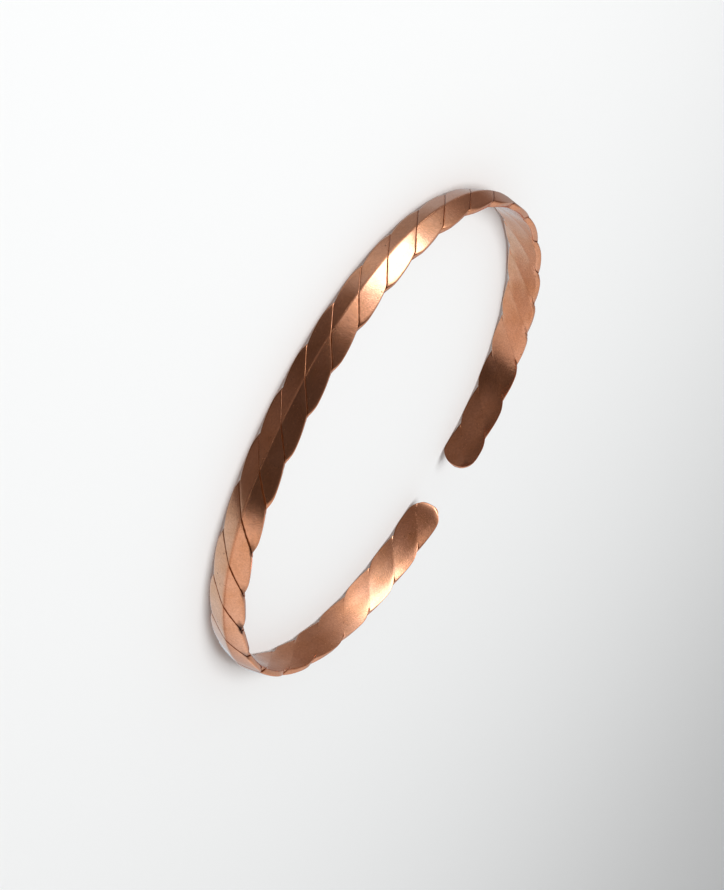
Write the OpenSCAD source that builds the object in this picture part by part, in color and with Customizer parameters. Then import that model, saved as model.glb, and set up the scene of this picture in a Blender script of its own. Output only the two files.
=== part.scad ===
// Slim open cuff bracelet: three copper strands twisted together like a rope,
// then rolled flat and bent into an oval that stays open at the back of the wrist.
// It lies on its side: +Z runs through the wrist hollow and the gap faces +Y.

/* [Oval] */
// Total turn of the band from one tip round to the other, in degrees
wrap_turn = 358.6; // [354:0.2:359]
// Bend at the left tip, against the tightest turn
left_tip_bend = 0.6; // [0.57:0.01:0.63]
// Bend at the left turn, against the tightest turn
left_turn_bend = 0.88; // [0.85:0.01:0.91]
// Bend in the middle of the back, against the tightest turn
back_bend = 0.345; // [0.325:0.005:0.365]
// Bend at the right tip, against the tightest turn
right_tip_bend = 0.34; // [0.32:0.01:0.36]

/* [Section] */
// Width of the band over the tops of the scallops
band_width = 4.65; // [4.2:0.05:5.2]
// Thickness at the ridge along the middle of the outer face
ridge_thickness = 1.3; // [1.1:0.05:1.6]
// Thickness at the outer corners of the edges
edge_thickness = 0.65; // [0.5:0.05:0.8]
// Corner radius of the tongue-shaped tips
tip_radius = 1.8; // [1.2:0.1:2]

/* [Twist] */
// Distance between neighbouring notches on one edge
notch_pitch = 5; // [4.8:0.05:5.2]
// Notch pitches from the middle of the back to the left tip
left_notches = 14.8; // [14:0.01:15]
// Notch pitches from the middle of the back to the right tip
right_notches = 16.27; // [15.5:0.01:16.3]
// How much looser the twist has grown by the tips, in notch pitches
tip_slack = 0.3; // [0:0.05:0.4]
// How far the twist lags behind at the left turn, in notch pitches
turn_lag = 0.35; // [0:0.05:0.4]
// How far a notch cuts into the edge
notch_depth = 0.42; // [0.2:0.01:0.45]
// Depth of the seam between two strands on the outer face
seam_depth = 0.12; // [0.05:0.01:0.15]
// Depth of the seam between two strands on the inner face
inner_seam_depth = 0.06; // [0:0.01:0.1]
// Space between neighbouring strands inside the band
strand_gap = 0.1; // [0.08:0.01:0.12]

/* [Hidden] */

copper = [0.74, 0.44, 0.31];

// The outline of the band is counted in steps round its girth: 12 to a strand.
// One notch pitch along the band carries every seam 12 steps round.
strands = 3;
strand_steps = 12;
girth_steps = strands * strand_steps;
rings_per_pitch = 6;
// Steps of the strand's own outline that get a corner: close beside the seams.
corner_steps = [0, 1, 2, 4, 6, 8, 10, 11, 12];
// Where the first seam stands at the middle of the back
seam_start = -2;

// Bend of the band: place along it as a share of its length, and relative bend
PLACE = 0;
BEND = 1;
bends = [
    [0, left_tip_bend],
    [0.22, left_turn_bend],
    [0.54, back_bend],
    [0.72, 1],
    [1, right_tip_bend]
];
// Direction of the band at the left tip, in degrees from +X
left_tip_heading = -178.9;

// Half of the band's outline, from the ridge over the edge to the inner face. The edge
// leans: at the back its outer corner is the wider one, and on the arms its inner corner.
STEP = 0;
AT_BACK = 1;
ON_ARMS = 2;
UP = 3;
outer_step = 8;
inner_step = 12;
narrow = 0.9;
outline = [
    [0, 0, 0, ridge_thickness],
    [outer_step, 1, narrow, edge_thickness],
    [10, 0.95, 0.96, 0.42 * edge_thickness],
    [inner_step, narrow, 1, 0],
    [18, 0, 0, 0]
];
across_at_back = [for (row = outline) [row[STEP], row[AT_BACK]]];
across_on_arms = [for (row = outline) [row[STEP], row[ON_ARMS]]];
up_by_step = [for (row = outline) [row[STEP], row[UP]]];
gable_slope = (ridge_thickness - edge_thickness) / band_width * 2;
// Share of the arms' lean in the edge, by notch count from the middle of the back
arm_lean = [[9, 0], [12, 1]];
// Steps that a seam takes from the ridge to the edge's outer corner, by notch count,
// and the steps that it then takes over the edge
steps_to_edge = [[-12, 9.5], [-9, 8], [3.5, 8], [7.5, 6], [9, 6], [12, 9.5]];
steps_over_edge = 3;
// Points as near as this to a corner of the edge, in steps, count as on it
corner_play = 0.01;
// Where between its seams a strand reaches farthest out, on the upper edge
scallop_top = 4 / strand_steps;

// Height inside the band at which the three strands meet
core_up = 0.4 * ridge_thickness;
// Height inside the band of the line that the oval is drawn through
line_up = 0.2;
// The tip's face is a little thinner than the band, over this length
tip_thinning = 0.25;
tip_round = 0.4;
tip_rings = 5;
slack_notches = 15;
lag_place = -9.1;
lag_reach = 2.4;

function total(list) = list * [for (item = list) 1];

// Place along the band from the middle of the back, for a count of notch pitches
function along(notches) =
    let (
        slack = tip_slack * pow(notches / slack_notches, 3),
        lag = turn_lag * exp(-pow((notches - lag_place) / lag_reach, 2))
    )
    notch_pitch * (notches + slack - lag);

left_end = along(-left_notches);
right_end = along(right_notches);
band_length = right_end - left_end;

// Area under the bend table from the left tip up to a place
function bend_up_to(place) = total([
    for (i = [0:len(bends) - 2])
        let (
            from = bends[i][PLACE],
            to = min(max(place, from), bends[i + 1][PLACE])
        )
        (to - from) * (bends[i][BEND] + lookup(to, bends)) / 2
]);

function heading(s) =
    left_tip_heading + wrap_turn * bend_up_to((s - left_end) / band_length) / bend_up_to(1);

// Rings: evenly spaced notch counts, closer together round the corners of the tips
corner_notches = tip_radius / notch_pitch;
first_ring = ceil((corner_notches - left_notches) * rings_per_pitch + 0.5);
last_ring = floor((right_notches - corner_notches) * rings_per_pitch - 0.5);
corner_places = [for (i = [0:tip_rings - 1]) corner_notches * (1 - cos(90 * i / tip_rings))];
ring_notches = concat(
    [for (place = corner_places) place - left_notches],
    [for (i = [first_ring:last_ring]) i / rings_per_pitch],
    [for (i = [tip_rings - 1:-1:0]) right_notches - corner_places[i]]
);
ring_places = [for (notches = ring_notches) along(notches)];
ring_count = len(ring_places);

// Middle line of the band, added up from ring to ring
function stride(i) =
    let (
        from = ring_places[i],
        to = ring_places[i + 1],
        turn = heading((from + to) / 2)
    )
    (to - from) * [cos(turn), sin(turn)];

line = [
    for (i = 0, spot = [0, 0]; i < ring_count; spot = i < ring_count - 1 ? spot + stride(i) : spot, i = i + 1)
        spot
];
line_x = [for (spot = line) spot.x];
line_y = [for (spot = line) spot.y];
oval_middle = [min(line_x) + max(line_x), min(line_y) + max(line_y)] / 2;

// Half width and thickness of the band near a tip, for a distance from the tip
function half_width(tip) =
    let (inset = max(tip_radius - tip, 0))
    band_width / 2 - tip_radius + sqrt(pow(tip_radius, 2) - pow(inset, 2));

function thickness_share(tip) =
    1 - tip_thinning * (1 - sqrt(1 - pow(max(1 - tip / tip_round, 0), 2)));

// How deep the edge lies at a place between two seams: each scallop leans towards one of them
function edge_dip(share, side) =
    let (top = side > 0 ? scallop_top : 1 - scallop_top)
    pow(share < top ? (top - share) / top : (share - top) / (1 - top), 2);
// How far a strand's flat face swells between its two seams
function face_swell(share) = 1 - pow(2 * share - 1, 4);

function girth_point(step, share, tip, notches) =
    let (
        turned = step - girth_steps * floor(step / girth_steps + 0.5),
        side = turned < 0 ? -1 : 1,
        outer_at = lookup(notches, steps_to_edge),
        inner_at = outer_at + steps_over_edge,
        places = [[0, 0], [outer_at, outer_step], [inner_at, inner_step], [18, 18]],
        place = lookup(abs(turned), places),
        arm = lookup(abs(notches), arm_lean),
        reach = lookup(place, across_at_back) * (1 - arm) + lookup(place, across_on_arms) * arm,
        height = lookup(place, up_by_step),
        squeeze = notch_depth * edge_dip(share, side) / band_width * 2,
        rise = gable_slope * reach * half_width(tip) * squeeze * min(height / edge_thickness, 1),
        outside = height > core_up ? 1 : 0,
        dip = (1 - face_swell(share)) * (outside * seam_depth - (1 - outside) * inner_seam_depth),
        on_face = place < outer_step - corner_play || place > inner_step + corner_play ? 1 : 0
    )
    [
        side * reach * half_width(tip) * (1 - squeeze),
        core_up + (height + rise - on_face * dip - core_up) * thickness_share(tip)
    ];

// One strand's slice of the band: from the core out to one seam, round to the next
function strand_ring(i, strand) =
    let (
        tip = min(ring_places[i] - left_end, right_end - ring_places[i]),
        start = seam_start + strand_steps * (ring_notches[i] + strand),
        rim = [
            for (step = corner_steps)
                girth_point(start + step, step / strand_steps, tip, ring_notches[i])
        ],
        last = len(rim) - 1,
        core = [0, core_up],
        seam_a = rim[0] - core,
        seam_b = rim[last] - core,
        clear_a = [seam_a.y, -seam_a.x] / norm(seam_a),
        clear_b = [-seam_b.y, seam_b.x] / norm(seam_b),
        half_gap = strand_gap / 2
    )
    concat(
        [core + half_gap * (clear_a + clear_b) / (1 + clear_a * clear_b)],
        [rim[0] + half_gap * clear_a],
        [for (j = [1:last - 1]) rim[j]],
        [rim[last] + half_gap * clear_b]
    );

function placed(slice, i) =
    let (turn = heading(ring_places[i]), out = [sin(turn), -cos(turn)])
    [
        for (q = slice)
            let (spot = line[i] - oval_middle + out * (q.y - line_up))
            [spot.x, spot.y, q.x + band_width / 2]
    ];

module strand(index) {
    corners = len(corner_steps) + 1;
    points = [for (i = [0:ring_count - 1]) each placed(strand_ring(i, index), i)];
    // Both strands at a seam split its strip the same way, so their gap stays even
    strips = [
        for (i = [0:ring_count - 2], j = [0:corners - 1])
            let (
                here = i * corners + j,
                beside = i * corners + (j + 1) % corners,
                ahead = here + corners,
                across = beside + corners
            )
            each (j == 0
                ? [[here, beside, across], [here, across, ahead]]
                : [[here, beside, ahead], [beside, across, ahead]])
    ];
    left_cap = [for (j = [1:corners - 2]) [0, j + 1, j]];
    right_cap = [for (j = [1:corners - 2]) (ring_count - 1) * corners * [1, 1, 1] + [0, j, j + 1]];
    polyhedron(points = points, faces = concat(strips, left_cap, right_cap), convexity = 10);
}

module strand_1() {
    color(copper) strand(0);
}

module strand_2() {
    color(copper) strand(1);
}

module strand_3() {
    color(copper) strand(2);
}

strand_1();
strand_2();
strand_3();
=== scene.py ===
import bpy, bmesh, math
import numpy as np
from mathutils import Euler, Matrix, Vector


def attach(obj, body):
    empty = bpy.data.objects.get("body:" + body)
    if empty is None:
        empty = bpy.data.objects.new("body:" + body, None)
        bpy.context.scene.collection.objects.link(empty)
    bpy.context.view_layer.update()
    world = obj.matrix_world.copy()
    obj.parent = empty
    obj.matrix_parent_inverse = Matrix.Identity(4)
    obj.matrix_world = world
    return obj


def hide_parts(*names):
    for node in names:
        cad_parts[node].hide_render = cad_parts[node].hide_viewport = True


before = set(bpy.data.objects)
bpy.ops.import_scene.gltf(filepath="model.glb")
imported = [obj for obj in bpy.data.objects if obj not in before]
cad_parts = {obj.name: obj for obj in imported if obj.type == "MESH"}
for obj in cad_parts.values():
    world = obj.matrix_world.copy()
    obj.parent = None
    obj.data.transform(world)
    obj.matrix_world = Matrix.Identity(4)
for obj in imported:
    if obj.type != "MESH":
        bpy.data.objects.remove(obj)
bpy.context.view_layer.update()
print("frame loaded, solids:", len(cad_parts))

mm = 0.001  # metres

# Oval and twist of the whole cuff, in millimetres, degrees and notches, as the solids have them
cuff = {
    "wrapTurn": 358.6,  # turn of the band from tip to tip
    "leftTipHeading": -178.9,
    "bends": [(0, 0.6), (0.22, 0.88), (0.54, 0.345), (0.72, 1.0), (1, 0.34)],  # place, relative bend
    "linePoints": 4001,  # on the band's middle line
    "notchPitch": 5.0,
    "leftNotches": 14.8,  # from the middle of the back to the left tip
    "rightNotches": 16.27,
    "tipSlack": 0.3,  # the twist is a little looser by the tips
    "slackNotches": 15,  # where it is looser by that much
    "turnLag": 0.35,  # and lags behind where the left turn begins
    "lagPlace": -9.1,  # notch in the middle of that stretch
    "lagReach": 2.4,  # notches to either side
    "bandWidth": 4.65,
    "lineUp": 0.2,  # the oval is drawn this far above the inner face
}


# Millimetres along the band from the middle of its back, for a count of notches
def alongBand(notches):
    slack = cuff["tipSlack"] * (notches / cuff["slackNotches"]) ** 3
    lag = cuff["turnLag"] * math.exp(-((notches - cuff["lagPlace"]) / cuff["lagReach"]) ** 2)
    return cuff["notchPitch"] * (notches + slack - lag)


# The middle line of the band, walked in fine steps
leftEnd = alongBand(-cuff["leftNotches"])
rightEnd = alongBand(cuff["rightNotches"])
linePlaces = np.linspace(leftEnd, rightEnd, cuff["linePoints"])
bendPlace, bendSize = zip(*cuff["bends"])
lineBend = np.interp((linePlaces - leftEnd) / (rightEnd - leftEnd), bendPlace, bendSize)
lineStep = linePlaces[1] - linePlaces[0]
lineTurn = np.concatenate([[0], np.cumsum((lineBend[1:] + lineBend[:-1]) / 2)])
lineHeading = np.radians(cuff["leftTipHeading"] + cuff["wrapTurn"] * lineTurn / lineTurn[-1])
strideHeading = (lineHeading[1:] + lineHeading[:-1]) / 2
lineX = np.concatenate([[0], np.cumsum(np.cos(strideHeading) * lineStep)])
lineY = np.concatenate([[0], np.cumsum(np.sin(strideHeading) * lineStep)])
lineX -= (lineX.min() + lineX.max()) / 2
lineY -= (lineY.min() + lineY.max()) / 2
print("oval laid out")

# One strand of the rolled rope, in millimetres. The girth of the band is counted in steps, 12 to a strand,
# from the ridge of its outer face: over the upper edge to 18 and over the lower one to -18, where the
# inner face has its middle.
strandLook = {
    "strands": 3,
    "steps": 12,  # to a strand
    "seamStart": -2,  # step of the first seam at the middle of the back
    "ridgeThickness": 1.3,
    "edgeThickness": 0.65,
    "coreUp": 0.52,  # the strands meet this far above the inner face
    "rimLength": 3.0,  # from seam to seam, at right angles to them
    "notchDepth": 0.42,  # how far it cuts into the edge
    "scallopTop": 1 / 3,  # each scallop leans towards the seam that closes over it
    # notch along the band, steps from the ridge to the outer corner of the edge
    "stepsToEdge": [(-12, 9.5), (-9, 8), (3.5, 8), (7.5, 6), (9, 6), (12, 9.5)],
    "stepsOverEdge": 2,
    "armNotches": (9, 12),  # between these the back turns into the arms, whose edge leans the other way
    "outerCrown": 0.02,  # how far a strand's flat sinks towards its seams
    "innerDish": 0.027,  # the mandrel left the inner flats a little hollow
    "armConvex": 0.12,  # the arms' inner face falls away this much to its edges
    "convexNotches": (6, 9),  # from none to all of it between these
    "softRidge": 0.03,  # past the back the outer flats bulge this much, so their ridge is blunt
    "softNotches": (3, 5),  # the same
    "flatEnd": 7.5,  # step of the outline at which the outer flats end
    "blendSteps": 1.5,  # a flat turns into the edge over these
    "lipRadius": 0.06,  # rounding of a strand's edge along the seam
    "lipDepth": 0.055,
    "innerLip": 0.06,  # share of it on the inner face, where the mandrel pressed the seams nearly closed
    "notchLip": 2.6,  # and over the edge
    "seamGap": 0.022,
    "closedSeams": [(2, 1), (4, 0.35)],  # notch along the band, share of that gap left on the outer face
    "innerGap": 0.1,  # share of that gap left on the inner face
    "wallPoints": (0.45, 0.85),  # shares of the way from the core out to a seam
    "tipRadius": 1.8,  # corners of the tongue-shaped tips
    "tipRound": 1.4,  # length over which the tips thin out
    "tipThinning": 0.5,  # share of the thickness
    "tipNarrowing": 0.2,
    "columns": 24,  # even ones round a strand's rim
    "lipColumns": [0.0012, 0.005, 0.012, 0.022],  # closer ones over the lips, as shares of the rim
    "ringsPerPitch": 24,
    "tipRings": [0, 0.01, 0.04, 0.09, 0.15, 0.22, 0.32, 0.42, 0.56, 0.72, 0.9, 1.1, 1.3],  # from a tip
    "tipNotches": 0.3,  # the even rings keep this far from a tip
    "nudge": 0.05,  # steps either side of a point that give the outline's direction there
    "weldReach": 0.0001,  # points nearer than this become one
}
# Half outline: step, share of the half width at the back and on the arms, and level: 1 at the ridge,
# 0 at the outer corner of the edge, -1 at the inner face
outlineRows = np.array([
    (0, 0, 0, 0.935), (0.35, 0.045, 0.04, 0.925), (6.6, 0.905, 0.815, 0.095), (7.2, 0.965, 0.87, 0.02),
    (7.6, 0.99, 0.89, -0.05), (8, 1.0, 0.905, -0.13), (9, 0.97, 0.93, -0.38), (10.5, 0.925, 0.965, -0.72),
    (11.3, 0.9, 0.99, -0.88), (11.7, 0.88, 1.0, -0.95), (12.2, 0.85, 0.98, -0.99), (12.8, 0.8, 0.93, -1.0),
    (18, 0, 0, -1.0),
])
outerStep, innerStep, halfGirth = 8, 12, 18  # edge's outer corner, its inner corner, inner face's middle
gableSlope = (strandLook["ridgeThickness"] - strandLook["edgeThickness"]) / (cuff["bandWidth"] / 2)
# Columns round a strand's rim, as shares of the way from seam to seam
lipShares = strandLook["lipColumns"]
evenShares = [k / strandLook["columns"] for k in range(1, strandLook["columns"])]
rimShares = np.array([0] + lipShares + evenShares + [1 - share for share in lipShares[::-1]] + [1])


# Signed steps round the girth, 0 at the ridge, for a share of the rim of a strand
def girthStep(notches, index, share):
    step = strandLook["seamStart"] + strandLook["steps"] * (notches + index + share)
    return (step + halfGirth) % (2 * halfGirth) - halfGirth


# Steps round the girth as the outline rows count them
def outlineStep(turned, notches):
    outerAt = np.interp(notches, *zip(*strandLook["stepsToEdge"]))
    innerAt = outerAt + strandLook["stepsOverEdge"]
    return np.interp(np.abs(turned), (0, outerAt, innerAt, halfGirth), (0, outerStep, innerStep, halfGirth))


# 0 at the back of the cuff, 1 on its arms
def armShare(notches):
    return np.interp(abs(notches), strandLook["armNotches"], (0, 1))


# Across and up, for steps round the girth; a squeeze slides the flats inwards at a notch
def outlinePoint(turned, squeeze, half, notches):
    look = strandLook
    step = outlineStep(turned, notches)
    arm = armShare(notches)
    atBack, onArms, level = (np.interp(step, outlineRows[:, 0], outlineRows[:, k]) for k in (1, 2, 3))
    reach = atBack * (1 - arm) + onArms * arm
    edge = look["edgeThickness"]
    up = np.where(level > 0, edge + level * (look["ridgeThickness"] - edge), edge * (1 + level))
    rise = gableSlope * reach * half * squeeze * np.minimum(up / edge, 1)
    convex = np.interp(abs(notches), look["convexNotches"], (0, 1)) * look["armConvex"]
    rise += convex * reach ** 3 * np.clip(1 - up / edge, 0, 1)
    bulge = np.interp(notches, look["softNotches"], (0, 1)) * look["softRidge"]
    rise += bulge * 4 * reach * (1 - reach) * (level > 0)  # most halfway between ridge and edge
    return np.stack([np.sign(turned) * reach * half * (1 - squeeze), up + rise], 1)


# How deep the edge lies, 0 to 1. A notch runs straight over the edge from its widest corner:
# that is the outer one at the back and the inner one on the arms.
def edgeDip(turned, notches):
    outerAt = np.interp(notches, *zip(*strandLook["stepsToEdge"]))
    over = strandLook["stepsOverEdge"]
    arm = armShare(notches)
    shifts = (0, arm * over, arm * over - over, 0)
    shift = np.interp(np.abs(turned), (0, outerAt, outerAt + over, halfGirth), shifts)
    share = (rimShares + np.sign(turned) * shift / strandLook["steps"]) % 1
    top = np.where(turned > 0, strandLook["scallopTop"], 1 - strandLook["scallopTop"])
    return np.where(share < top, (top - share) / top, (share - top) / (1 - top)) ** 2


# How far the rim sinks below the outline: crowned outer flats, hollow inner ones, and lips along the
# seams, twice as wide over the edge and three times on the inner face
def rimSink(step, onInner):
    look = strandLook
    swing = np.abs(2 * rimShares - 1)
    onOuter = np.clip((look["flatEnd"] - step) / look["blendSteps"], 0, 1)
    onEdge = 1 - onOuter - onInner
    crown = onOuter * look["outerCrown"] * swing ** 4 + onInner * look["innerDish"] * (1 - swing ** 2)
    fromSeam = np.minimum(rimShares, 1 - rimShares) * look["rimLength"]
    lipWidth = look["lipRadius"] * (1 + onEdge + 2 * onInner)
    lip = look["lipDepth"] * (onOuter + onInner * look["innerLip"] + onEdge * look["notchLip"])
    lip *= 1 - np.sqrt(1 - np.clip(1 - fromSeam / lipWidth, 0, 1) ** 2)
    return crown + lip


# Half width of the band and share of its thickness, both less at the tips
def bandShape(place):
    look = strandLook
    fromTip = max(min(place - leftEnd, rightEnd - place), 0)
    inset = max(look["tipRadius"] - fromTip, 0)
    half = cuff["bandWidth"] / 2 - look["tipRadius"] + math.sqrt(look["tipRadius"] ** 2 - inset ** 2)
    tipShare = max(1 - fromTip / look["tipRound"], 0)
    rounding = 1 - math.sqrt(1 - tipShare ** 2)
    return half - look["tipNarrowing"] * rounding, 1 - look["tipThinning"] * rounding


# One closed slice of a strand: core, seam wall, rim, seam wall, core
def strandRing(notches, index):
    look = strandLook
    place = alongBand(notches)
    half, thin = bandShape(place)
    turned = girthStep(notches, index, rimShares)
    squeeze = look["notchDepth"] * edgeDip(turned, notches) / (cuff["bandWidth"] / 2)
    rim = outlinePoint(turned, squeeze, half, notches)
    ahead = outlinePoint(turned + look["nudge"], squeeze, half, notches)
    along = ahead - outlinePoint(turned - look["nudge"], squeeze, half, notches)
    along /= np.linalg.norm(along, axis=1, keepdims=True)
    core = np.array([0, look["coreUp"]])
    inward = np.stack([along[:, 1], -along[:, 0]], 1)
    inward *= np.sign((inward * (core - rim)).sum(1))[:, None]
    step = outlineStep(turned, notches)
    onInner = np.clip((step - innerStep) / look["blendSteps"], 0, 1)
    rim += inward * rimSink(step, onInner)[:, None]
    rim[:, 1] = core[1] + (rim[:, 1] - core[1]) * thin

    # both seam walls stand back from their seam by half of its gap
    seamA, seamB = rim[0] - core, rim[-1] - core
    clearA = np.array([seamA[1], -seamA[0]]) / np.linalg.norm(seamA)
    clearB = np.array([-seamB[1], seamB[0]]) / np.linalg.norm(seamB)
    halfGap = look["seamGap"] / 2 * np.interp(notches, *zip(*look["closedSeams"]))
    rim[0] += halfGap * (1 - (1 - look["innerGap"]) * onInner[0]) * clearA
    rim[-1] += halfGap * (1 - (1 - look["innerGap"]) * onInner[-1]) * clearB
    apex = core + halfGap * (clearA + clearB) / (1 + clearA @ clearB)
    wallA = [apex + (rim[0] - apex) * share for share in look["wallPoints"]]
    wallB = [apex + (rim[-1] - apex) * share for share in look["wallPoints"][::-1]]
    outline = np.vstack([[apex], wallA, rim, wallB, [apex]])

    heading = np.interp(place, linePlaces, lineHeading)
    spot = np.array([np.interp(place, linePlaces, lineX), np.interp(place, linePlaces, lineY)])
    out = np.array([math.sin(heading), -math.cos(heading)])
    ground = spot + out * (outline[:, 1:] - cuff["lineUp"])
    height = outline[:, 0] + cuff["bandWidth"] / 2
    return np.column_stack([ground, height]) * mm


# Rings along the strand, in notches: close together over the rounded tips, even between
tipOffsets = [fromTip / cuff["notchPitch"] for fromTip in strandLook["tipRings"]]
evenStart = strandLook["tipNotches"] - cuff["leftNotches"]
evenEnd = cuff["rightNotches"] - strandLook["tipNotches"]
firstRing = math.floor(evenStart * strandLook["ringsPerPitch"]) + 1
lastRing = math.ceil(evenEnd * strandLook["ringsPerPitch"]) - 1
ringNotches = [offset - cuff["leftNotches"] for offset in tipOffsets]
ringNotches += [k / strandLook["ringsPerPitch"] for k in range(firstRing, lastRing + 1)]
ringNotches += [cuff["rightNotches"] - offset for offset in tipOffsets[::-1]]

# Where age and wear show on a strand, and where shade is painted into a few notch corners, for its material
# to read
strandWearAndShade = {
    "seamOxide": [(2, 1.0), (4, 1.7)],  # notch along the band, strength of the oxide on the outer face
    "underOxide": 0.6,  # share of it below the ridge, where the cuff lies on the floor
    "innerOxide": 0.08,  # and on the inner face
    "oxideSteps": 2,  # it fades over this many steps before the inner face
    "shadedNotches": [(6.8, 1.2), (5.8, 0.6), (4.8, 0.7), (7.8, 0.7)],  # notch, strength of the shade painted into its corner
    "shadeStep": 7.4,  # where on the outline a notch's painted shade lies
    "insideSeam": -0.2,  # mm, what the seam walls have as their distance from the seam
    "ridgeStepSize": 0.32,  # mm of the flats to a step of the outline
    "edgeStepSize": 0.3,  # mm of the edge to a step
    "layUnit": 10,  # mm of copper to one unit of the UV map
}
# the last name is the strength of the shade painted into a notch's corner
wearAndShadeNames = ("fromSeam", "oxideShare", "fromRidge", "fromNotch", "darkSpot")


# Distances in millimetres and strengths at one point of a strand, in the order of the names above; the last
# is the strength of the shade painted into a notch's corner
def wearAndShadeAt(notches, index, share, onRim):
    turned = girthStep(notches, index, share)
    step = outlineStep(turned, notches)
    fromSeam = min(share, 1 - share) * strandLook["rimLength"]
    outward = min(max((innerStep - step) / strandWearAndShade["oxideSteps"], 0), 1)
    oxide = np.interp(notches, *zip(*strandWearAndShade["seamOxide"]))
    oxide *= 1 if turned > 0 else strandWearAndShade["underOxide"]
    # painted shade in the corners of a few notches, on the upper side only
    darkSpot = max(strength * max(1 - abs(notches - notch), 0) for notch, strength in strandWearAndShade["shadedNotches"])
    return (
        fromSeam if onRim else strandWearAndShade["insideSeam"],
        strandWearAndShade["innerOxide"] * (1 - outward) + outward * oxide,
        step * strandWearAndShade["ridgeStepSize"],
        math.hypot(fromSeam, (step - strandWearAndShade["shadeStep"]) * strandWearAndShade["edgeStepSize"]),
        darkSpot if turned > 0 else 0,
    )


def makeStrand(index):
    rings = np.array([strandRing(notches, index) for notches in ringNotches])
    ringCount, columnCount = rings.shape[:2]
    wallCount = (columnCount - len(rimShares)) // 2
    columnShares = np.concatenate([[0] * wallCount, rimShares, [1] * wallCount])
    bm = bmesh.new()
    uvLayer = bm.loops.layers.uv.new("lay")
    wearAndShadeLayers = [bm.verts.layers.float.new(name) for name in wearAndShadeNames]
    bmesh.ops.create_grid(bm, x_segments=columnCount - 1, y_segments=ringCount - 1, size=1)
    gridSpot = {}
    for v in bm.verts:
        i = round((v.co.y + 1) / 2 * (ringCount - 1))
        j = round((v.co.x + 1) / 2 * (columnCount - 1))
        gridSpot[v.index] = (i, j)
    for v in bm.verts:  # the flat sheet is wrapped round the strand and along the oval
        i, j = gridSpot[v.index]
        v.co = rings[i, j]
        onRim = wallCount <= j < columnCount - wallCount
        for layer, value in zip(wearAndShadeLayers, wearAndShadeAt(ringNotches[i], index, columnShares[j], onRim)):
            v[layer] = value
    for face in bm.faces:
        for loop in face.loops:
            i, j = gridSpot[loop.vert.index]
            across = columnShares[j] * strandLook["rimLength"] / strandWearAndShade["layUnit"] + index
            loop[uvLayer].uv = (alongBand(ringNotches[i]) / strandWearAndShade["layUnit"], across)
    bmesh.ops.triangulate(bm, faces=bm.faces[:], quad_method="ALTERNATE")  # keeps the ridge straight
    # the sheet's two sides meet at the core, and each tip gets a face, cut into triangles
    bmesh.ops.remove_doubles(bm, verts=bm.verts[:], dist=strandLook["weldReach"] * mm)
    tipEdges = [e for e in bm.edges if e.is_boundary]
    bmesh.ops.holes_fill(bm, edges=tipEdges, sides=0)
    bmesh.ops.triangulate(bm, faces=[f for f in bm.faces if len(f.verts) > 4])
    bmesh.ops.recalc_face_normals(bm, faces=bm.faces[:])
    for face in bm.faces:
        face.smooth = True
    mesh = bpy.data.meshes.new("copperStrand_%d" % (index + 1))
    bm.to_mesh(mesh)
    bm.free()
    piece = bpy.data.objects.new("copperStrand_%d" % (index + 1), mesh)
    bpy.context.scene.collection.objects.link(piece)
    return piece


def linearColour(hexText):
    parts = [int(hexText[i:i + 2], 16) / 255 for i in (1, 3, 5)]
    return [c / 12.92 if c <= 0.04045 else ((c + 0.055) / 1.055) ** 2.4 for c in parts] + [1.0]


# settings are node properties or, by name or number, input values; links are input: output socket
def addNode(tree, kind, settings=None, links=None):
    node = tree.nodes.new(kind)
    for key, value in (settings or {}).items():
        if isinstance(key, str) and hasattr(node, key) and key not in node.inputs:
            setattr(node, key, value)
        else:
            node.inputs[key].default_value = value
    for key, socket in (links or {}).items():
        tree.links.new(socket, node.inputs[key])
    return node


# Copper, rolled, polished and worn: a soft mirror with drawn hairlines and fine grain, brown in its seams,
# with shade painted into a few notch corners
copperLook = {
    "bright": "#E0A180",
    "warm": "#D6946E",
    "oxide": "#8A4824",
    # colour of the pinholes and of the shade painted into a few notch corners
    "darkSpot": "#3A2016",
    "roughness": (0.08, 0.14),  # in the bright and in the warm clouds
    "seamRoughness": 0.45,
    "cloud": 3,  # mm, width of the tarnish clouds
    "speckle": 0.24,  # mm, width of the light and dark specks of its skin
    "speckleTone": (0.83, 1.11),
    "oxideReach": 0.15,  # mm from a seam on the outer face
    "borderWave": 0.4,  # mm, width of the waves in the oxide's border
    "borderDepth": 0.14,  # mm, how deep they are
    "notchReach": 0.75,  # mm from a notch, for the shade painted into its corner
    "notchCore": 0.15,  # mm, where the painted shade is darkest
    "notchWaves": 4.0,  # the painted shade's border is this much more ragged
    "pinhole": 0.3,  # mm, spacing of the noise that gives a few dark pinholes
    "ridgeWear": 0.1,  # mm either side of the ridge
    "dent": 1.6,  # mm, width of the soft dents
    "dentHeight": 0.01,  # mm
    "hairline": 0.12,  # mm apart, drawn coarser than real ones so that they show
    "hairLength": 4,  # mm
    "hairHeight": 0.0015,  # mm
    "grain": 0.11,  # mm, width of its bumps, also coarser than real so that they show
    "grainHeight": 0.008,  # mm
}


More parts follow.
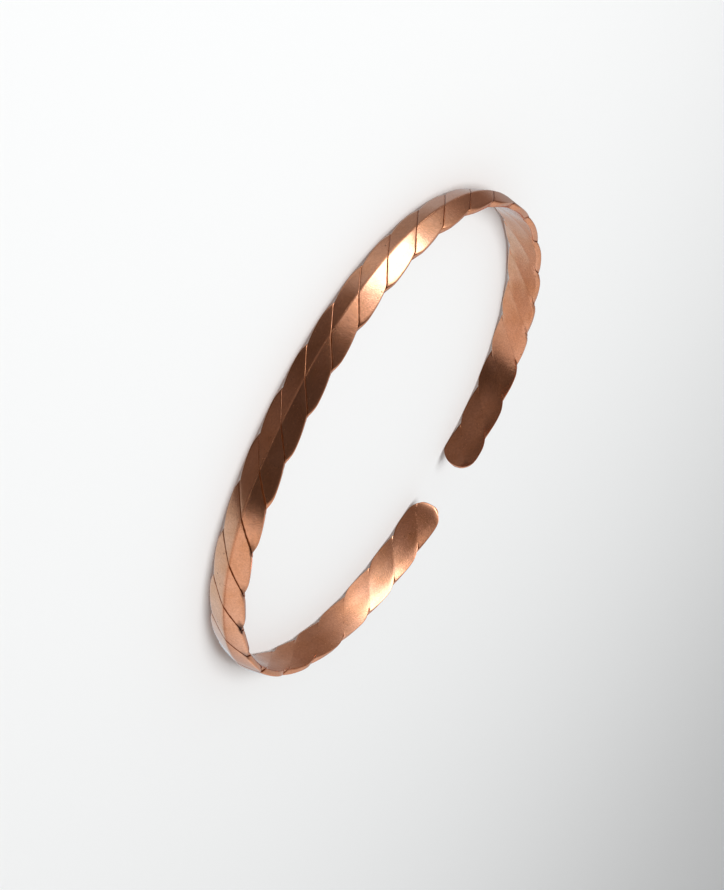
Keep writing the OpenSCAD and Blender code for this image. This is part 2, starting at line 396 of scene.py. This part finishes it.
def makeCopper():
    look = copperLook
    mat = bpy.data.materials.new("satinRolledCopper")
    mat.use_nodes = True
    tree = mat.node_tree
    tree.nodes.clear()
    out = addNode(tree, "ShaderNodeOutputMaterial")
    place = addNode(tree, "ShaderNodeTexCoord").outputs["Object"]
    fromSeam, oxideShare, fromRidge, fromNotch, darkSpot = (
        addNode(tree, "ShaderNodeAttribute", {"attribute_name": name}).outputs["Fac"] for name in wearAndShadeNames)
    lay = addNode(tree, "ShaderNodeUVMap", {"uv_map": "lay"}).outputs[0]

    # tarnish clouds a few millimetres wide
    clouds = addNode(tree, "ShaderNodeTexNoise",
                     {"Scale": 1 / (look["cloud"] * mm), "Detail": 4.0, "Roughness": 0.6},
                     {"Vector": place}).outputs["Fac"]
    cloudShare = addNode(tree, "ShaderNodeMapRange", {"From Min": 0.35, "From Max": 0.68},
                         {"Value": clouds}).outputs[0]
    tone = addNode(tree, "ShaderNodeMix",
                   {"data_type": "RGBA", 6: linearColour(look["bright"]), 7: linearColour(look["warm"])},
                   {0: cloudShare}).outputs[2]
    # light and dark specks of the worn skin
    speckle = addNode(tree, "ShaderNodeTexNoise",
                      {"Scale": 1 / (look["speckle"] * mm), "Detail": 3.0, "Roughness": 0.8},
                      {"Vector": place}).outputs["Fac"]
    darkSpeck, lightSpeck = look["speckleTone"]
    speckleTone = addNode(tree, "ShaderNodeMapRange",
                          {"From Min": 0.3, "From Max": 0.7, "To Min": darkSpeck, "To Max": lightSpeck},
                          {"Value": speckle}).outputs[0]
    speckled = addNode(tree, "ShaderNodeVectorMath", {"operation": "SCALE"},
                       {0: tone, 3: speckleTone}).outputs[0]

    # oxide that stays in the seams, its border broken by noise, weaker on the inner face
    waves = addNode(tree, "ShaderNodeTexNoise", {"Scale": 1 / (look["borderWave"] * mm), "Detail": 3.0},
                    {"Vector": place}).outputs["Fac"]
    border = addNode(tree, "ShaderNodeMath",
                     {"operation": "MULTIPLY_ADD", 1: look["borderDepth"], 2: -look["borderDepth"] / 2},
                     {0: waves}).outputs[0]
    seamSpot = addNode(tree, "ShaderNodeMath", {"operation": "ADD"}, {0: fromSeam, 1: border}).outputs[0]
    inSeam = addNode(tree, "ShaderNodeMapRange",
                     {"interpolation_type": "SMOOTHSTEP", "From Min": look["oxideReach"], "From Max": 0.0},
                     {"Value": seamSpot}).outputs[0]
    seamOxide = addNode(tree, "ShaderNodeMath", {"operation": "MULTIPLY", "use_clamp": True},
                        {0: inSeam, 1: oxideShare}).outputs[0]
    # shade painted into the corners of a few notches
    notchSpot = addNode(tree, "ShaderNodeMath", {"operation": "MULTIPLY_ADD", 1: look["notchWaves"]},
                        {0: border, 2: fromNotch}).outputs[0]
    inNotch = addNode(tree, "ShaderNodeMapRange",
                      {"interpolation_type": "SMOOTHSTEP",
                       "From Min": look["notchReach"], "From Max": look["notchCore"]},
                      {"Value": notchSpot}).outputs[0]
    notchShade = addNode(tree, "ShaderNodeMath", {"operation": "MULTIPLY"},
                         {0: inNotch, 1: darkSpot}).outputs[0]
    # dull over the seam oxide and over the painted notch shade
    oxide = addNode(tree, "ShaderNodeMath", {"operation": "MAXIMUM", "use_clamp": True},
                    {0: seamOxide, 1: notchShade}).outputs[0]
    oxided = addNode(tree, "ShaderNodeMix", {"data_type": "RGBA", 7: linearColour(look["oxide"])},
                     {0: seamOxide, 6: speckled}).outputs[2]
    # a few dark pinholes in the skin
    pinholeSpot = addNode(tree, "ShaderNodeTexNoise", {"Scale": 1 / (look["pinhole"] * mm), "Detail": 1.0},
                          {"Vector": place}).outputs["Fac"]
    pinholes = addNode(tree, "ShaderNodeMapRange", {"From Min": 0.76, "From Max": 0.8},
                       {"Value": pinholeSpot}).outputs[0]
    # the pinholes and the painted notch shade take the same dark colour
    pinholesAndShade = addNode(tree, "ShaderNodeMath", {"operation": "MAXIMUM", "use_clamp": True},
                     {0: pinholes, 1: notchShade}).outputs[0]
    colour = addNode(tree, "ShaderNodeMix", {"data_type": "RGBA", 7: linearColour(look["darkSpot"])},
                     {0: pinholesAndShade, 6: oxided}).outputs[2]

    # roughness: the oxide and the painted notch shade are dull, and the ridge is scuffed in places
    polished, clouded = look["roughness"]
    rough = addNode(tree, "ShaderNodeMapRange",
                    {"From Min": 0.3, "From Max": 0.7, "To Min": polished, "To Max": clouded},
                    {"Value": clouds}).outputs[0]
    onRidge = addNode(tree, "ShaderNodeMapRange", {"From Min": look["ridgeWear"], "From Max": 0.0},
                      {"Value": fromRidge}).outputs[0]
    wornShare = addNode(tree, "ShaderNodeMapRange", {"From Min": 0.45, "From Max": 0.6},
                        {"Value": clouds}).outputs[0]
    scuff = addNode(tree, "ShaderNodeMath", {"operation": "MULTIPLY"}, {0: onRidge, 1: wornShare}).outputs[0]
    dull = addNode(tree, "ShaderNodeMath", {"operation": "MAXIMUM"}, {0: oxide, 1: scuff}).outputs[0]
    roughness = addNode(tree, "ShaderNodeMix", {"data_type": "FLOAT", 3: look["seamRoughness"]},
                        {0: dull, 2: rough}).outputs[0]

    # height: soft dents, hairlines along the band where the rolls drew over it, and the grain
    dents = addNode(tree, "ShaderNodeTexNoise", {"Scale": 1 / (look["dent"] * mm), "Detail": 1.0},
                    {"Vector": place}).outputs["Fac"]
    hairScale = (strandWearAndShade["layUnit"] / look["hairLength"], strandWearAndShade["layUnit"] / look["hairline"], 1)
    stretch = addNode(tree, "ShaderNodeMapping", {"Scale": hairScale}, {"Vector": lay}).outputs[0]
    hair = addNode(tree, "ShaderNodeTexNoise", {"Scale": 1.0, "Detail": 2.0},
                   {"Vector": stretch}).outputs["Fac"]
    grain = addNode(tree, "ShaderNodeTexNoise",
                    {"Scale": 1 / (look["grain"] * mm), "Detail": 2.0, "Roughness": 0.7},
                    {"Vector": place}).outputs["Fac"]
    dented = addNode(tree, "ShaderNodeBump", {"Strength": 1.0, "Distance": look["dentHeight"] * mm},
                     {"Height": dents}).outputs[0]
    drawn = addNode(tree, "ShaderNodeBump", {"Strength": 1.0, "Distance": look["hairHeight"] * mm},
                    {"Height": hair, "Normal": dented}).outputs[0]
    normal = addNode(tree, "ShaderNodeBump", {"Strength": 1.0, "Distance": look["grainHeight"] * mm},
                     {"Height": grain, "Normal": drawn}).outputs[0]

    shader = addNode(tree, "ShaderNodeBsdfPrincipled", {"Metallic": 1.0},
                     {"Base Color": colour, "Roughness": roughness, "Normal": normal})
    tree.links.new(shader.outputs[0], out.inputs["Surface"])
    return mat


copper = makeCopper()
print("copper mixed")
for index in range(strandLook["strands"]):
    strand = makeStrand(index)
    strand.data.materials.append(copper)
    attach(strand, "root")
    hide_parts("strand_%d" % (index + 1))
    print("strand", index + 1, "twisted, triangles:", len(strand.data.polygons))

# Studio: pale floor under one large soft lamp. The metal mirrors a white room with a dark side towards
# the camera, a brown wall to the left of it and a bright soft box between them.
studio = {
    "floorColour": "#F0F1F1",
    "floorRoughness": 0.9,
    "floorSize": 3.0,  # metres
    "fillLight": 0.46,  # plain light of the room on the floor
    "lampPlace": (-60, -110, 330),  # mm
    "lampSize": 260,  # mm
    "lampPower": 0.9,
    "cameraPlace": (38.544, -154.863, 73.433),  # mm
    "cameraTurn": (-44.436, -54.324, 153.478),  # degrees
    "lens": 63.31,  # mm
    "nearest": 5,  # mm, the camera sees nothing closer
    # What the metal sees, at six heights (sine of the elevation): azimuth round the cuff in degrees, 0 on the
    # camera's side and 90 on +X, brightness, and a tint where there is one (bluish above 0, reddish below)
    "ceiling": (0.87, [
        (-180, 0.9), (-130, 0.5), (-95, 0.8), (-60, 0.8), (-48, 0.2), (40, 0.2), (60, 0.8), (180, 0.9),
    ]),
    "eyeLevel": (-0.1, [
        (-180, 0.6), (-140, 0.6, 0.5), (-120, 0.2, -1), (-100, 0.2), (-86, 0.42), (-76, 0.75, 0.3),
        (-60, 1.5, 0.5), (-58, 5.6, 0.4), (-38, 5.6, 0.4), (-33, 2, 0.3), (-28, 1.2), (-18, 0.95),
        (-15, 0.18), (5, 0.08), (25, 0.1), (48, 0.08), (50, 1), (145, 1, 0.4), (170, 0.6), (180, 0.6),
    ]),
    "tableEdge": (-0.34, [
        (-180, 0.65, 0.9), (-150, 0.34, -0.6), (-130, 0.42), (-115, 0.28, -0.3), (-90, 0.34), (-79, 0.46),
        (-67, 1), (-60, 2.3, 0.4), (-55, 2.3, 0.4), (-47, 1.4, 0.5), (-40, 1.15, 0.5), (-32, 0.58),
        (-25, 0.29), (-5, 0.19), (20, 0.27), (34, 0.15), (48, 0.15), (51, 0.66, -0.2), (62, 0.8, -0.4),
        (98, 0.53, -0.4), (140, 0.64), (168, 0.6, 0.4), (180, 0.65, 0.9),
    ]),
    "tableLevel": (-0.44, [
        (-180, 0.7, 1.2), (-148, 0.54, 0.4), (-115, 0.44), (-93, 0.28), (-70, 0.55), (-60, 1.2),
        (-50, 1.05), (-34, 0.4, 0.2), (-25, 0.26), (25, 0.18), (31, 0.09), (48, 0.09), (52, 0.45),
        (63, 0.75), (80, 0.84), (148, 0.74, 1.5), (166, 0.7, 0.5), (180, 0.7, 1.2),
    ]),
    "tableTop": (-0.84, [
        (-180, 0.6, 0.2), (-145, 0.45), (-112, 0.66, 1.6), (-100, 0.42, 0.4), (-90, 0.46, 1),
        (-79, 0.36, 0.4), (-67, 0.66, 0.4), (-57, 0.7, 0.4), (-46, 0.21), (-34, 0.16), (-10, 0.1),
        (20, 0.19, -0.2), (60, 0.16), (63, 0.5, 0.7), (72, 0.76, 1), (125, 0.84, 1.5), (150, 0.82, 0.4),
        (180, 0.6, 0.2),
    ]),
    "underneath": (-1.0, [(-180, 0.1)]),
    "brightest": 5.6,
    "brownBelow": 0.7,  # brightness under which the parts of the room turn brown
    "brownFade": 0.45,  # and over how much they do
    "brown": (0.16, 0.24),  # green and blue that a brown part lacks
    "tint": (0.27, 0.45),  # green and blue that a tint of 1 adds
}


# Colour of a stop of the studio, as a share of its brightest part
def studioColour(brightness, tint):
    brown = min(max((studio["brownBelow"] - brightness) / studio["brownFade"], 0), 1)
    colour = [1]
    for lack, gain in zip(studio["brown"], studio["tint"]):
        colour.append((1 - lack * brown) * (1 + gain * tint))
    return [c * brightness / studio["brightest"] for c in colour] + [1]


def makeWorld():
    world = bpy.data.worlds.new("softStudio")
    bpy.context.scene.world = world
    world.cycles.sampling_method = "NONE"  # the two worlds below stay apart
    world.use_nodes = True
    tree = world.node_tree
    tree.nodes.clear()
    out = addNode(tree, "ShaderNodeOutputWorld")
    # where a ray goes round the cuff, as a share of a full turn
    ray = addNode(tree, "ShaderNodeTexCoord").outputs["Generated"]
    parts = addNode(tree, "ShaderNodeSeparateXYZ", {}, {0: ray})
    front = addNode(tree, "ShaderNodeMath", {"operation": "MULTIPLY", 1: -1.0}, {0: parts.outputs[1]})
    turn = addNode(tree, "ShaderNodeMath", {"operation": "ARCTAN2"},
                   {0: parts.outputs[0], 1: front.outputs[0]})
    share = addNode(tree, "ShaderNodeMapRange", {"From Min": -math.pi, "From Max": math.pi},
                    {"Value": turn.outputs[0]})
    # one ramp for each height, blended from height to height
    below, seen = None, None
    for name in ("underneath", "tableTop", "tableLevel", "tableEdge", "eyeLevel", "ceiling"):
        height, stops = studio[name]
        ramp = addNode(tree, "ShaderNodeValToRGB", {}, {0: share.outputs[0]})
        elements = ramp.color_ramp.elements
        elements.remove(elements[1])
        for k, (azimuth, brightness, *tint) in enumerate(stops):
            position = (azimuth + 180) / 360
            element = elements.new(position) if k else elements[0]
            element.position = position
            element.color = studioColour(brightness, sum(tint))  # no tint counts as 0
        if seen:
            blend = addNode(tree, "ShaderNodeMapRange",
                            {"interpolation_type": "SMOOTHSTEP", "From Min": below, "From Max": height},
                            {"Value": parts.outputs[2]})
            seen = addNode(tree, "ShaderNodeMix", {"data_type": "RGBA"},
                           {0: blend.outputs[0], 6: seen, 7: ramp.outputs[0]}).outputs[2]
        else:
            seen = ramp.outputs[0]
        below = height

    # only the metal seen straight away mirrors the room; the floor and all later bounces get plain light
    mirrored = addNode(tree, "ShaderNodeBackground", {"Strength": studio["brightest"]}, {0: seen})
    plain = addNode(tree, "ShaderNodeBackground", {"Color": (1, 1, 1, 1), "Strength": studio["fillLight"]})
    path = addNode(tree, "ShaderNodeLightPath")
    straight = addNode(tree, "ShaderNodeMath", {"operation": "LESS_THAN", 1: 0.5},
                       {0: path.outputs["Diffuse Depth"]})
    isMirror = addNode(tree, "ShaderNodeMath", {"operation": "MULTIPLY"},
                       {0: path.outputs["Is Glossy Ray"], 1: straight.outputs[0]})
    both = addNode(tree, "ShaderNodeMixShader", {},
                   {0: isMirror.outputs[0], 1: plain.outputs[0], 2: mirrored.outputs[0]})
    tree.links.new(both.outputs[0], out.inputs["Surface"])


def makeLamp():
    data = bpy.data.lights.new("softLamp", "AREA")
    data.shape = "DISK"
    data.size = studio["lampSize"] * mm
    data.energy = studio["lampPower"]
    lamp = bpy.data.objects.new("softLamp", data)
    lamp.location = Vector(studio["lampPlace"]) * mm
    lamp.rotation_euler = (-lamp.location).to_track_quat("-Z", "Y").to_euler()
    lamp.visible_glossy = False  # the metal mirrors the studio above in its place
    bpy.context.scene.collection.objects.link(lamp)


def makeFloor():
    bm = bmesh.new()
    bmesh.ops.create_grid(bm, x_segments=1, y_segments=1, size=studio["floorSize"] / 2)
    mesh = bpy.data.meshes.new("studioFloor")
    bm.to_mesh(mesh)
    bm.free()
    floor = bpy.data.objects.new("studioFloor", mesh)
    bpy.context.scene.collection.objects.link(floor)
    mat = bpy.data.materials.new("mattPaleCard")  # painted card: plain, matt and nearly white
    mat.use_nodes = True
    shader = mat.node_tree.nodes["Principled BSDF"]
    shader.inputs["Base Color"].default_value = linearColour(studio["floorColour"])
    shader.inputs["Roughness"].default_value = studio["floorRoughness"]
    mesh.materials.append(mat)
    floor.visible_glossy = False  # as with the lamp


def makeCamera():
    camera = bpy.data.cameras.new("photoCamera")
    camera.lens = studio["lens"]
    camera.clip_start = studio["nearest"] * mm
    holder = bpy.data.objects.new("photoCamera", camera)
    holder.location = Vector(studio["cameraPlace"]) * mm
    holder.rotation_euler = Euler([math.radians(a) for a in studio["cameraTurn"]])
    bpy.context.scene.collection.objects.link(holder)
    bpy.context.scene.camera = holder


makeWorld()
print("room painted")
makeLamp()
makeFloor()
makeCamera()
bpy.context.scene.view_settings.view_transform = "Standard"
print("lamp, floor and camera placed")
